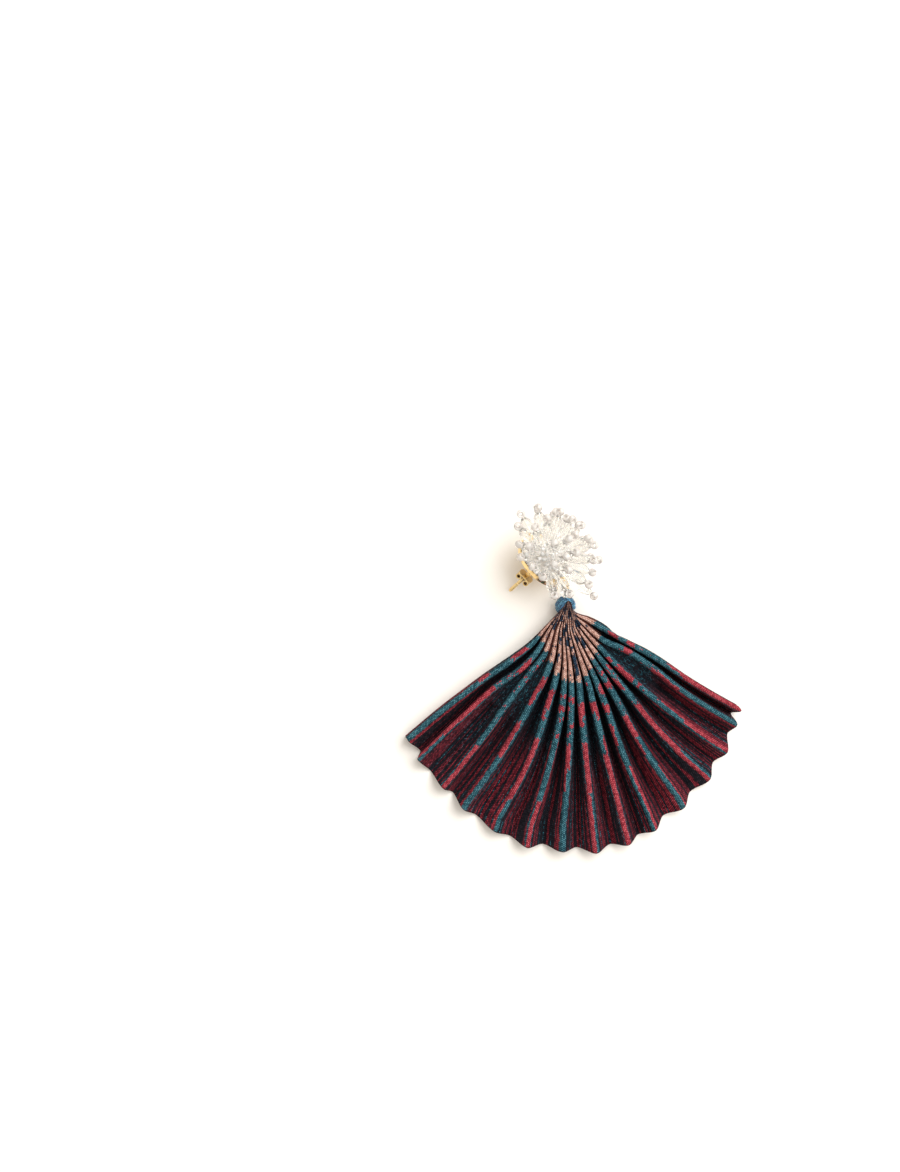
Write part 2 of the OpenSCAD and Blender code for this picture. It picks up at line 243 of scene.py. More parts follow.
def through(stations, values, x):
    """A smooth curve through a few measured values."""
    stations, values = np.array(stations, float), np.array(values, float)
    x = np.clip(x, stations[0], stations[-1])
    slopes = np.gradient(values, stations)
    k = np.clip(np.searchsorted(stations, x, "right") - 1, 0, len(stations) - 2)
    gap = stations[k + 1] - stations[k]
    t = (x - stations[k]) / gap
    start = values[k] * (1 + 2 * t) * (1 - t) ** 2 + slopes[k] * gap * t * (1 - t) ** 2
    end = values[k + 1] * t * t * (3 - 2 * t) + slopes[k + 1] * gap * t * t * (t - 1)
    return start + end


def flank_lean(half_pitch, rounds, cloth):
    """How steep a flank stands when its cloth, with its two rounded folds, spans half a pitch."""
    low, high = np.zeros_like(half_pitch), np.full_like(half_pitch, math.pi / 2)
    for _ in range(40):
        lean = (low + high) / 2
        spans = rounds * np.sin(lean) + (cloth - rounds * lean) * np.cos(lean)
        too_wide = spans > half_pitch
        low, high = np.where(too_wide, lean, low), np.where(too_wide, high, lean)
    return (low + high) / 2


def limited(depth, most):
    """Depth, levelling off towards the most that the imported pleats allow."""
    return depth * most / (depth**4 + most**4) ** 0.25


# Distances from the binding, along the longest crest, of the mesh's rows
rows = np.arange(ROW_STEP, LONGEST + ROW_STEP / 2, ROW_STEP)


def row_places(length):
    """How far from the binding the rows lie on a line of the cloth of this length."""
    return rows + (length - LONGEST) * (rows / LONGEST) ** 2


crest_at = np.array([row_places(c[1]) for c in CRESTS])
crest_angle = np.array([through(STATIONS, c[0], at) for c, at in zip(CRESTS, crest_at)])
# A valley leaves the middle between its crests only towards the rim
valley_share = np.array([0.5 + (c[2] - 0.5) * eased(rows, 24, 46) for c in CRESTS[:-1]])
valley_angle = crest_angle[:-1] + valley_share * (crest_angle[1:] - crest_angle[:-1])
# The two cut edges hang from the outer crests, the right one spread wide beside the ball
left_out = np.interp(rows, (6, 10, 14, 18, 22), (0.26, 0.45, 0.7, 0.94, 1.08))
right_out = np.interp(rows, (6, 8, 10, 12, 14, 16, 18, 24),
                      (0.85, 1.1, 1.15, 0.95, 0.45, 0.35, 0.65, 1))
left_edge = crest_angle[:1] - np.degrees(left_out / np.maximum(rows, STATIONS[0]))
right_edge = crest_angle[-1:] + np.degrees(right_out / np.maximum(rows, STATIONS[0]))
borders = np.vstack([left_edge, valley_angle, right_edge])

# Near the binding the pleats are packed: the heights of their tops and undersides, the depth of
# the grooves between them, and the valley's part of the rounding of a flank's two folds
packed_top = np.interp(rows, (0, 1, 2, 4, 6, 9, 14), (4.9, 5.3, 5.55, 5.6, 5.55, 5.65, 5.95))
packed_low = np.interp(rows, (0, 0.9, 2, 2.8, 3.8, 5.5, 8.5),
                       (4.1, 3.6, 2.4, 1.55, 0.75, 0.25, 0.04))
groove = np.interp(rows, (0, 3, 6, 9, 12, 15, 18), (0.4, 0.8, 1.3, 2.1, 3.2, 5, 30))
valley_part = np.interp(rows, (2, 16), (0.42, 0.19))
# Some flanks, each given by its crest and side, lie wide and shallow below the neck
shallow = np.interp(rows, (8, 12, 16, 24, 33, 40), (0.9, 1.5, 1.7, 1.9, 4, 30))
WIDE_FLANKS = ((1, 1), (2, -1), (2, 1), (3, -1), (12, 1), (13, -1))
# How far the pleats have opened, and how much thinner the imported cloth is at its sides
opened = eased(rows, 10, 17)
flatness = 0.8 * (1 - eased(rows, 3.5, 14))


def flank_sizes(crest, side):
    """Half pitch, rounding of crest and valley, lean and depth of one flank, for every row."""
    border = borders[crest + (side > 0)]
    apart = np.radians(np.abs(border - crest_angle[crest]))
    half = np.maximum(apart * np.maximum(rows, 3), LEAST_HALF_PITCH)
    rounds = np.minimum(CREST_ROUND + VALLEY_ROUND, 0.92 * half)
    crest_round = rounds * (1 - valley_part)
    lean = flank_lean(half, rounds, FLANK_CLOTH)
    depth = rounds * (1 - np.cos(lean)) + (FLANK_CLOTH - rounds * lean) * np.sin(lean)
    return half, crest_round, rounds - crest_round, lean, depth


flanks = {(c, s): flank_sizes(c, s) for c in range(len(CRESTS)) for s in (-1, 1)}
rng = random.Random(72)
crest_sway = [rng.uniform(0, 50) for _ in CRESTS]


def laid_out(crest, side, share, z):
    """One column of points, at this share of the way from its crest line to its border."""
    share = np.clip(share, 0, 1)
    neighbour = min(len(CRESTS) - 1, max(0, crest + side))
    first = min(crest, neighbour)
    valley = valley_share[min(first, len(valley_share) - 1)]
    part = share * (valley if side > 0 else 1 - valley)
    behind = 0 if crest + side < 0 else CRESTS[first][3]
    own, other = CRESTS[crest][1], CRESTS[neighbour][1]
    scallop = behind * (1 - np.cos(share * math.pi)) / 2
    at = row_places(own + (other - own) * part - scallop)
    border = borders[crest + (side > 0)]
    turn = np.radians(crest_angle[crest] + share * (border - crest_angle[crest]))
    far = np.maximum(at, STATIONS[0])
    x, y = KNOT.x + far * np.sin(turn), KNOT.y - far * np.cos(turn)
    across = (crest + side * share / 2 - MIDDLE_CREST) / HALF_COUNT
    near = np.minimum(at / STATIONS[0], 1)
    held = near ** (1 + np.where(across > 0, RIGHT_HOLD, 0) * across**2)
    start_x = GATHER.x + GATHER_HALF * across
    start_y = GATHER.y - GATHER_DROOP * across**2
    x, y = start_x + (x - start_x) * held, start_y + (y - start_y) * near
    pinch = np.sqrt(np.clip(1 - flatness * across**2, 0.05, 1))
    middle = (packed_top + packed_low) / 2
    return np.stack([x, y, middle + (z - middle) * pinch], 1)


def cloth_columns(crest, side):
    """Upper and lower points of one flank, from its crest line out to its border."""
    half, crest_round, valley_round, lean, depth = flanks[crest, side]
    crest_depth = (flanks[crest, -1][-1] + flanks[crest, 1][-1]) / 2
    thick = np.minimum(CLOTH_THICK, 0.6 * crest_round)
    deepest = np.minimum(groove, shallow) if (crest, side) in WIDE_FLANKS else groove
    sway = [noise.noise((crest_sway[crest], r * SWAY_OFTEN, 0)) for r in rows]
    height = crest_depth + thick + np.array(sway) * SWAY_HEIGHT * opened
    top = packed_top + (packed_low + height - packed_top) * opened
    upper, lower = [], []
    for cloth in COLUMNS:
        # Each point lies on the crest's round, on the valley's round, or on the straight between
        bend, left = cloth / crest_round, (FLANK_CLOTH - cloth) / valley_round
        rounds = (bend < lean, left < lean)
        along = cloth - crest_round * lean
        slope = np.select(rounds, (bend, left), lean)
        out = np.select(rounds, (crest_round * np.sin(bend), half - valley_round * np.sin(left)),
                        crest_round * np.sin(lean) + along * np.cos(lean))
        drop = np.select(rounds, (crest_round * (1 - np.cos(bend)),
                                  depth - valley_round * (1 - np.cos(left))),
                         crest_round * (1 - np.cos(lean)) + along * np.sin(lean))
        inner_out = out - thick * np.sin(slope)
        inner_drop = (drop + thick * np.cos(slope)) * crest_depth / depth
        drop = drop * crest_depth / depth
        here = crest_sway[crest] + cloth
        ribs = [noise.noise((here, r * RIPPLE_OFTEN, cloth * side)) for r in rows]
        ripple = RIPPLE_HEIGHT * np.array(ribs) * opened * math.exp(-(cloth / 2) ** 2)
        inner_rise = limited(np.maximum(crest_depth + thick - inner_drop, 0), deepest)
        upper.append(laid_out(crest, side, out / half, top - limited(drop, deepest) + ripple))
        lower.append(laid_out(crest, side, inner_out / half, packed_low + inner_rise + ripple))
    return upper, lower


upper, lower = [], []
for crest in range(len(CRESTS)):
    for side in (-1, 1):
        up, down = cloth_columns(crest, side)
        # A left flank runs from its border in to the crest; each flank starts on the last column
        # of the one before
        first = 1 if upper else 0
        upper += up[::side][first:]
        lower += down[::side][first:]
column_count, row_count = len(upper), len(rows)
surface_points = np.array([upper, lower]) * MM


def cloth_point(layer, column, row):
    """The number of a point of the cloth's mesh; layer 0 is its upper side."""
    return (layer * column_count + column) * row_count + row


flank_steps = len(COLUMNS) - 1
cloth_faces, cloth_marks = [], []


def add_cloth_face(corners):
    """One face, with each corner's crest, distance from that crest along the cloth, and row."""
    cloth_faces.append([cloth_point(*c) for c in corners])
    flank = min(sum(c[1] for c in corners) // len(corners) // flank_steps, 2 * len(CRESTS) - 1)
    for _, column, row in corners:
        k = column - flank * flank_steps
        side = 1 if flank % 2 else -1
        cloth = COLUMNS[k] if side > 0 else COLUMNS[flank_steps - k]
        cloth_marks.append((flank // 2, side * cloth, row))


for c in range(column_count - 1):
    for r in range(row_count - 1):
        add_cloth_face([(0, c, r), (0, c, r + 1), (0, c + 1, r + 1), (0, c + 1, r)])
        add_cloth_face([(1, c, r), (1, c + 1, r), (1, c + 1, r + 1), (1, c, r + 1)])
    for r, flip in ((0, False), (row_count - 1, True)):
        ring = [(0, c, r), (0, c + 1, r), (1, c + 1, r), (1, c, r)]
        add_cloth_face(ring[::-1] if flip else ring)
for c, flip in ((0, True), (column_count - 1, False)):
    for r in range(row_count - 1):
        ring = [(0, c, r), (0, c, r + 1), (1, c, r + 1), (1, c, r)]
        add_cloth_face(ring[::-1] if flip else ring)

# The dyer's chart. Each dash is from and to along the pleat, and its left and right edge beside
# the crest line, all in millimetres; the ground between the dashes is teal.
CRIMSON = (
    ((14, 18.5, -1.4, 0.5), (25.5, 28.5, -2.4, 0), (29, 37, -1.6, -1.1), (28, 64, 1.1, 2.1)),
    ((16, 20, -0.5, 1.3), (21.5, 22.8, -0.9, -0.2), (27, 44, -1.3, 0.6), (44, 54, -1.3, 0)),
    ((20.3, 21, -1.2, 1.2), (17, 18, 0.7, 1.4), (29, 42, 1, 1.5), (41, 56, -0.6, 0.8)),
    ((18.5, 21.5, -0.7, 1), (21, 26, -1.2, 0.2), (31, 41, -1.2, 0.4), (41, 58, -1.7, -1)),
    ((21.3, 26, -1.0, 0.7), (26, 28.5, -1.2, -0.2), (33.5, 50, -1.1, 0.6), (50, 60, -1.3, -0.4)),
    ((22.2, 22.9, -1.2, 1.4), (25, 26.2, -1.3, 1.2), (28, 28.8, -0.4, 1.2), (32.1, 32.7, -1, 0.5),
     (34, 52, -1.9, -1.1), (34, 49, 1, 1.7), (49, 63, -0.4, 0.9)),
    ((22.7, 23.8, -0.9, 0.9), (25, 28.5, -1.6, -0.8), (29.6, 30.2, -0.3, 0.7),
     (31.8, 32.5, -1, 0.2), (34.5, 40.5, -1.2, 0.4), (40, 46, -1.2, -0.3), (46, 63, -1.9, -1.2)),
    ((24.5, 27, -0.5, 1.3), (25, 30.5, -1.4, 0.1), (34.5, 47, -0.7, 0.9), (47, 64, -1, 0.3)),
    ((24.8, 27.5, -1.2, 1), (27.2, 29.5, 0, 1.3), (34, 38.5, 0.2, 1.1), (38, 63, -0.7, 0.8)),
    ((21, 24, 0, 1.4), (26.4, 28.2, -1.2, 1), (31.5, 37, -1.5, -0.2), (37, 46, -1.9, -1.1),
     (43, 62, 0.1, 1.1)),
    ((21.5, 22.8, -1.2, 1.2), (18.7, 19.2, -0.4, 0.8), (30.8, 37, -1.1, 0.7), (36, 42, -1.2, -0.2),
     (42, 60, -2, -1.2), (46, 60, 0.8, 1.6)),
    ((18, 19.2, -1.2, 1.2), (21, 25.2, -1.5, -0.1), (30, 46, -0.7, 1), (45, 58, -1.1, 0.2)),
    ((16.5, 17.8, -1.2, 0.1), (19.6, 25, -1.2, 0.9), (26.4, 27.1, -0.8, 0.8),
     (29, 37, -1.9, -1.1), (33, 42, 0.6, 1.5), (41, 56, -0.3, 1.1)),
    ((17.6, 20, -1.2, 1.2), (26, 35, -1.6, -0.1), (34, 53, -1.8, -0.9)),
    ((12.8, 15.3, -1.1, 0.1), (17.7, 19.7, -0.6, 0.9), (29, 34, 0.2, 3), (33, 53, -0.7, 4)),
)
PEACH_UNTIL = (9.9, 10.7, 12.3, 14.5, 17, 18.4, 18.9, 18.9, 18, 16.6, 14.8, 14, 12.9, 11.2, 8.4)
# Dark blots in the peach ground, one list for each crest
BLOTS = (
    (), ((5, 6.2, -0.5, 1),), ((4.4, 6.4, -1, 1),), ((3, 4.4, -1, 1),),
    ((7.6, 8.5, -1, 1), (9.3, 9.9, -1, 1), (12, 14, -1.6, -0.2)), ((5.5, 7.8, -1, 1),),
    ((4.5, 6.4, -1, 1), (7.8, 10.2, -1, 1)),
    ((7.8, 9, -1, 1), (10.2, 11, -1, 1), (12, 17.6, -0.7, 0.6)),
    ((2, 3.2, -2, 2),), ((7.8, 9.8, -1, 1),), ((8.5, 11.6, -0.6, 1),), ((4.5, 6.3, -1, 1),),
    ((4, 6.4, -1, 1),), (), (),
)
# How far down each pleat its flanks begin to show the fine crimson stripes
STRIPES_FROM = (25, 27, 29, 33, 36, 38, 40, 40, 39, 38, 34, 31, 31, 30, 30)
# The wide shallow flanks are flecked all over, from and to this far down the pleat
FLECKED_FROM = 12
FLECKED_TO = 31
FLECKED_FADE = 4
# How sharply a dash ends, and how much more sharply beside its threads than along them
DASH_SHARPNESS = 0.6
SIDE_SHARPNESS = 1.8
FAR_OUTSIDE = -2


def inside(dashes, cloth, at):
    """How far inside the nearest dash a point is; below zero is outside."""
    depths = []
    for start, end, left, right in dashes:
        across = min(cloth - left, right - cloth) * SIDE_SHARPNESS
        depths.append(min(at - start, end - at, across) * DASH_SHARPNESS)
    return max(depths, default=FAR_OUTSIDE)


maps = {"threads": [], "dyes": [], "marks": [], "pleats": [], "flecks": []}
for crest, cloth, row in cloth_marks:
    at = crest_at[crest][row]
    wide = (crest, np.sign(cloth)) in WIDE_FLANKS
    flecked = min(at - FLECKED_FROM, FLECKED_TO - at) / FLECKED_FADE if wide else 0
    crimson = inside(CRIMSON[crest], cloth, at)
    blot = inside(BLOTS[crest], cloth, at) if at < PEACH_UNTIL[crest] else FAR_OUTSIDE
    maps["threads"].append((cloth, at))
    maps["dyes"].append((crimson, PEACH_UNTIL[crest] - at))
    maps["marks"].append((blot, at - STRIPES_FROM[crest]))
    maps["pleats"].append((crest, rows[-1] - rows[row]))
    maps["flecks"].append((min(max(flecked, 0), 1), 0))

# The table is lit past white, by this much
TABLE_LIGHT = 1.3
YARN_PITCH = 0.42
PICK_PITCH = 0.5
WEAVE_DEPTH = 0.12 * MM
# These set the noises of neighbouring pleats and threads apart
PLEAT_APART = 7.3
THREAD_APART = 5.37
cotton = new_finish("ikat_cotton", Roughness=0.9, Specular_IOR_Level=0.08)


def dye(red, green, blue):
    """The dye that looks like this colour on the brightly lit table."""
    return tint(red, green, blue, TABLE_LIGHT)


def reckon(finish, operation, *values):
    """One step of arithmetic on numbers or sockets."""
    return step(finish, "ShaderNodeMath", dict(enumerate(values)), operation=operation)


def over(finish, share, under, top):
    """Lays one colour over another by a share from 0 to 1."""
    return step(finish, "ShaderNodeMix", {0: share, 6: under, 7: top}, out=2, data_type="RGBA")


def ramp(finish, value, low, high, smooth=True):
    """Takes value from low..high to 0..1."""
    kind = "SMOOTHSTEP" if smooth else "LINEAR"
    sockets = {"Value": value, "From Min": low, "From Max": high}
    return step(finish, "ShaderNodeMapRange", sockets, interpolation_type=kind, clamp=True)


def scaled(value, factor, added=0.0):
    """A value of the cotton times factor, plus added."""
    return reckon(cotton, "MULTIPLY_ADD", value, factor, added)


def larger(one, other):
    """The larger of two values of the cotton."""
    return reckon(cotton, "MAXIMUM", one, other)


def read_map(name):
    """Both numbers of a named map of the cloth."""
    pair = step(cotton, "ShaderNodeUVMap", {}, uv_map=name)
    return [step(cotton, "ShaderNodeSeparateXYZ", {0: pair}, out=k) for k in (0, 1)]


from_crest, along_pleat = read_map("threads")
crimson_in, peach_in = read_map("dyes")
blot_in, stripes_in = read_map("marks")
pleat_number, rim_in = read_map("pleats")
flecked_flank = read_map("flecks")[0]
away = reckon(cotton, "ABSOLUTE", from_crest)


def cotton_noise(sideways, along, layer, detail, rough):
    """Noise in the cloth itself; each layer and each pleat has its own."""
    where = step(cotton, "ShaderNodeCombineXYZ",
                 {0: sideways, 1: scaled(along_pleat, along),
                  2: scaled(pleat_number, PLEAT_APART, layer)})
    return mottle(cotton, where, 1.0, detail, rough)


def cloth_noise(across, along, layer, detail=2.0, rough=0.6):
    """Noise with this many clouds per millimetre across and along the cloth."""
    return cotton_noise(scaled(from_crest, across), along, layer, detail, rough)


# The weave. Each warp thread keeps its own dye and wanders a little; it rises over every other
# weft thread, and each crossing gets its own random fleck. The colour is painted lighter where the
# threads rise and darker in the gaps between them: painted highlight and painted shade.
wander = scaled(cloth_noise(0.3, 0.12, 31.0, 1), 1.6)
warp = scaled(from_crest, 1 / YARN_PITCH, wander)
yarn = reckon(cotton, "FLOOR", warp)
weft = scaled(yarn, 0.5, scaled(along_pleat, 1 / PICK_PITCH))


def yarn_noise(along, layer, detail=2.0, rough=0.6):
    """Noise that runs along each warp thread and differs from one thread to the next."""
    return cotton_noise(scaled(yarn, THREAD_APART), along, layer, detail, rough)


def hump(place_in_weave):
    """A rounded thread across one pitch."""
    return reckon(cotton, "SINE", scaled(reckon(cotton, "FRACT", place_in_weave), math.pi))


rise = scaled(hump(warp), hump(weft))
crossing = step(cotton, "ShaderNodeCombineXYZ",
                {0: yarn, 1: reckon(cotton, "FLOOR", weft), 2: pleat_number})
fleck = step(cotton, "ShaderNodeTexWhiteNoise", {"Vector": crossing}, noise_dimensions="3D")
# Painted highlight: the threads along a crest are painted lighter, standing in for light on the
# crest tops
painted_crest_highlight = scaled(ramp(cotton, away, 1.3, 0.2), 0.2, -0.1)
weave = reckon(cotton, "ADD", scaled(rise, 0.75, scaled(fleck, 0.5, 0.05)), painted_crest_highlight)
# Painted highlight on the thread tops and painted shade in the gaps, by how high the weave rises
painted_thread_highlight = ramp(cotton, weave, 0.66, 1.15, smooth=False)
painted_gap_shade = ramp(cotton, weave, 0.58, 0.26, smooth=False)


def lit_and_shaded_yarn(light, mid, dark):
    """A yarn's colour: painted highlight on its tops, painted shade in the gaps between threads."""
    return over(cotton, painted_gap_shade, over(cotton, painted_thread_highlight, mid, light), dark)


# Each yarn is a lit, a plain and a shaded copy of its dye, for the painted highlight and shade
BLACK = dye(20, 21, 27)
teal_yarn = lit_and_shaded_yarn(dye(102, 156, 168), dye(33, 79, 92), dye(10, 28, 39))
deep_teal = lit_and_shaded_yarn(dye(96, 160, 176), dye(24, 66, 80), dye(6, 18, 26))
crimson_yarn = lit_and_shaded_yarn(dye(222, 106, 114), dye(158, 47, 60), dye(68, 17, 28))
deep_crimson = lit_and_shaded_yarn(dye(196, 78, 88), dye(134, 40, 54), dye(54, 18, 27))
peach_yarn = lit_and_shaded_yarn(dye(246, 210, 196), dye(194, 142, 124), dye(92, 46, 42))
painted_fold_shade = lit_and_shaded_yarn(dye(168, 104, 90), dye(122, 66, 58), dye(58, 28, 28))
navy_yarn = lit_and_shaded_yarn(dye(66, 92, 116), dye(30, 40, 56), BLACK)
dark_yarn = lit_and_shaded_yarn(dye(64, 60, 68), dye(36, 34, 42), BLACK)

# The bands along the crests, with ragged dashes of crimson in the teal. The dyer's ties were
# tighter towards the rim, where the dashes end straighter.
spread = scaled(yarn_noise(0.6, 3.1), 5.0, -2.5)
loose = between(cotton, along_pleat, 26, 42, 0.5, 0.2)
crimson_edge = scaled(spread, loose, crimson_in)
stray = scaled(ramp(cotton, yarn_noise(0.75, 5.7), 0.64, 0.68), ramp(cotton, along_pleat, 36, 26))
crimson_share = larger(ramp(cotton, crimson_edge, -0.1, 0.1), stray)
band = over(cotton, crimson_share, teal_yarn, crimson_yarn)
band_half = between(cotton, along_pleat, 20, 45, 1.35, 1.1)
band_edge = scaled(spread, 0.3, reckon(cotton, "SUBTRACT", band_half, away))
in_band = larger(ramp(cotton, band_edge, -0.2, 0.25), ramp(cotton, crimson_edge, -0.05, 0.1))

# The flanks: black and navy, flecked with teal near the top and striped with crimson lower down
thread_hue = yarn_noise(0.03, 9.2, 1, 0.5)
broken = yarn_noise(0.8, 12.4, 2, 0.7)
teal_threads = scaled(ramp(cotton, thread_hue, 0.45, 0.38), ramp(cotton, broken, 0.44, 0.54))
near_crest = ramp(cotton, away, 5.5, 1.2, smooth=False)
speck_cover = larger(flecked_flank, scaled(near_crest, ramp(cotton, stripes_in, 6, -4)))
specks = ramp(cotton, scaled(speck_cover, 0.115, broken), 0.62, 0.68)
specks = scaled(specks, reckon(cotton, "SQRT", speck_cover))
dark_flank = over(cotton, larger(teal_threads, specks), dark_yarn, deep_teal)
stripe = scaled(cloth_noise(1.25, 0.012, 23.0, 1, 0.5), 1.8, scaled(thread_hue, 0.7))
stripe = ramp(cotton, scaled(broken, 0.4, stripe), 1.45, 1.55)
# The stripes start gradually, and are fainter to the right of a crest
fainter = scaled(ramp(cotton, from_crest, 0.5, 2.2), -0.25, 1.0)
stripe = scaled(scaled(stripe, ramp(cotton, stripes_in, -5, 8)), fainter)
ground = over(cotton, in_band, over(cotton, stripe, dark_flank, deep_crimson), band)

# The undyed top, turned peach by the rinse, with dark blots, and dark brown painted shade in its
# folds.
# Towards the binding more and more of its threads are dark.
blots = larger(ramp(cotton, scaled(spread, 0.55, blot_in), -0.1, 0.15),
               ramp(cotton, yarn_noise(0.5, 17.0), 0.63, 0.67))
near_top = ramp(cotton, along_pleat, 7.5, 2, smooth=False)
streaks = ramp(cotton, scaled(near_top, 0.2, yarn_noise(0.4, 21.0, 2, 0.7)), 0.67, 0.71)
peach_cloth = over(cotton, larger(blots, streaks), peach_yarn, navy_yarn)
# Painted shade: away from the crest line, down in the folds, the peach turns dark brown
peach_cloth = over(cotton, ramp(cotton, away, 0.7, 1.6), peach_cloth, painted_fold_shade)
peach_share = ramp(cotton, scaled(spread, 0.6, peach_in), -0.12, 0.14)
cloth_colour = over(cotton, peach_share, ground, peach_cloth)
cut_edge = scaled(ramp(cotton, rim_in, 0.34, 0.18), 0.6)
coat_with(cotton, Base_Color=over(cotton, cut_edge, cloth_colour, dye(62, 26, 34)))
bumped(cotton, rise, WEAVE_DEPTH)

fan = new_piece("pleated_fan", surface_points.reshape(-1, 3), cloth_faces, cotton)
for name, pairs in maps.items():
    layer = fan.data.uv_layers.new(name=name, do_init=False)
    layer.data.foreach_set("uv", np.array(pairs, np.float32).ravel())
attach(fan, "earring")
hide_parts("fan_cloth")

# Binding. Blue cotton thread wound many times round the gathered neck, in crossing layers, until
# it stands as a ball; the pleats come out of its upper side and lie over the rest of it.
WRAP_RADIUS = 2.65
WINDING_RADIUS = 0.21
# The windings cover this share of the ball's width
WOUND_SHARE = 0.97
PLY_RELIEF = 0.05 * MM
# Cuts across the gathered cloth where it crosses the ball: how far down, its left and right
# edges and its underside, all in millimetres from the knot
NECK_ROWS = 16
NECK_END = -3.2
CUT_COUNT = 12
CUT_HALF = 0.25
neck_cloth = np.array([upper, lower])[:, :, :NECK_ROWS].reshape(-1, 3) - np.array(KNOT)
neck_levels = np.linspace(float(neck_cloth[:, 1].max()), NECK_END, CUT_COUNT)
neck_cuts = []
for level in neck_levels:
    slab = neck_cloth[np.abs(neck_cloth[:, 1] - level) < CUT_HALF]
    neck_cuts.append((slab[:, 0].min(), slab[:, 0].max(), slab[:, 2].min()))
neck_cuts = np.array(neck_cuts)


def thread_finish(name, light, mid, dark, plies_per_mm):
    """Twisted cotton thread in slanting plies: painted highlight on tops, painted shade between."""
    finish = new_finish(name, Roughness=0.7, Sheen_Weight=0.3, Sheen_Roughness=0.4)
    where = place(finish)
    plies = step(finish, "ShaderNodeTexWave",
                 {"Vector": where, "Scale": plies_per_mm, "Distortion": 1.5, "Detail": 1},
                 out=1, wave_type="BANDS", bands_direction="DIAGONAL")
    # light is a lit copy of the thread's colour for painted highlight, dark a shaded copy for
    # painted shade
    cloud = ramp(finish, mottle(finish, where, 1.5, 3, 0.7), 0.38, 0.62)
    painted_ply_highlight = over(finish, cloud, mid, light)
    coat_with(finish, Base_Color=over(finish, ramp(finish, plies, 0.1, 0.8), dark, painted_ply_highlight))
    bumped(finish, plies, PLY_RELIEF)
    return finish


def turned(u, v, angle):
    """The direction at this angle in a circle through u and v."""
    return u * math.cos(angle) + v * math.sin(angle)


def square_to(way):
    """Two directions square to a direction and to each other."""
    u = way.orthogonal().normalized()
    return u, way.cross(u)


def scattered(most):
    """A random step, up to most each way."""
    return Vector([rng.uniform(-most, most) for _ in range(3)])


def tube(path, radius, sides=6, closed=False):
    """Points and faces of a round thread along a path, its ends closed unless it is a ring."""
    path = [Vector(p) for p in path]
    count = len(path)
    points, faces = [], []
    across = None
    for k, p in enumerate(path):
        before = path[k - 1] if k or closed else p
        after = path[(k + 1) % count] if k < count - 1 or closed else p
        way = (after - before).normalized()
        if across is None:
            across = way.orthogonal().normalized()
        across = (across - way * across.dot(way)).normalized()
        third = way.cross(across)
        for s in range(sides):
            points.append(p + turned(across, third, 2 * math.pi * s / sides) * radius)
    for k in range(count if closed else count - 1):
        here, there = k * sides, (k + 1) % count * sides
        for s in range(sides):
            n = (s + 1) % sides
            faces.append([here + s, here + n, there + n, there + s])
    if not closed:
        faces.append(list(range(sides))[::-1])
        faces.append(list(range((count - 1) * sides, count * sides)))
    return points, faces


def joined(parts):
    """Several lists of points and faces as one."""
    points, faces = [], []
    for more_points, more_faces in parts:
        first = len(points)
        points += more_points
        faces += [[first + v for v in f] for f in more_faces]
    return points, faces


def under_cloth(p, margin):
    """Whether a point, measured from the knot, is where the cloth lies or above it."""
    if p.y > neck_levels[0] + margin:
        return False
    left, right, low = (np.interp(-p.y, -neck_levels, cut) for cut in neck_cuts.T)
    return left - margin < p.x < right + margin and p.z > low - margin


def windings(axis, count, radius, tilt):
    """Turns of thread side by side round the ball, left off where the pleats come out."""
    parts = []
    for k in range(count):
        n = (Vector(axis).normalized() + scattered(tilt)).normalized()
        offset = radius * WOUND_SHARE * (2 * (k + 0.5) / count - 1)
        ring = math.sqrt(radius**2 - offset**2)
        u, v = square_to(n)
        steps = int(20 * max(ring, 1))
        ring_points = []
        for i in range(steps):
            p = n * offset + turned(u, v, 2 * math.pi * i / steps) * ring
            # No thread goes below the table
            p.z = max(p.z, WINDING_RADIUS - KNOT.z)
            ring_points.append(p)
        covered = [under_cloth(p, WINDING_RADIUS) for p in ring_points]
        ring_points = [(KNOT + p) * MM for p in ring_points]
        if not any(covered):
            parts.append(tube(ring_points, WINDING_RADIUS * MM, closed=True))
            continue
        # The open runs between covered stretches, from the first one on round the ring
        start = next((i for i in range(steps) if covered[i - 1] and not covered[i]), None)
        if start is None:
            continue
        run = []
        for i in range(start, start + steps + 1):
            if not covered[i % steps]:
                run.append(ring_points[i % steps])
                continue
            if len(run) > 2:
                parts.append(tube(run, WINDING_RADIUS * MM))
            run = []
    return parts


blue_thread = thread_finish("blue_thread", dye(136, 216, 250), dye(26, 104, 164),
                            dye(2, 18, 42), 2.6)
layers = windings((-0.7, 0.65, 0.1), 9, WRAP_RADIUS - WINDING_RADIUS, 0.04)
layers += windings((0.5, 0.8, 0.3), 9, WRAP_RADIUS - 1.4 * WINDING_RADIUS, 0.1)
layers += windings((-0.15, 1, -0.15), 12, WRAP_RADIUS - 1.9 * WINDING_RADIUS, 0.08)
ball = new_piece("binding_windings", *joined(layers), blue_thread)
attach(ball, "earring")


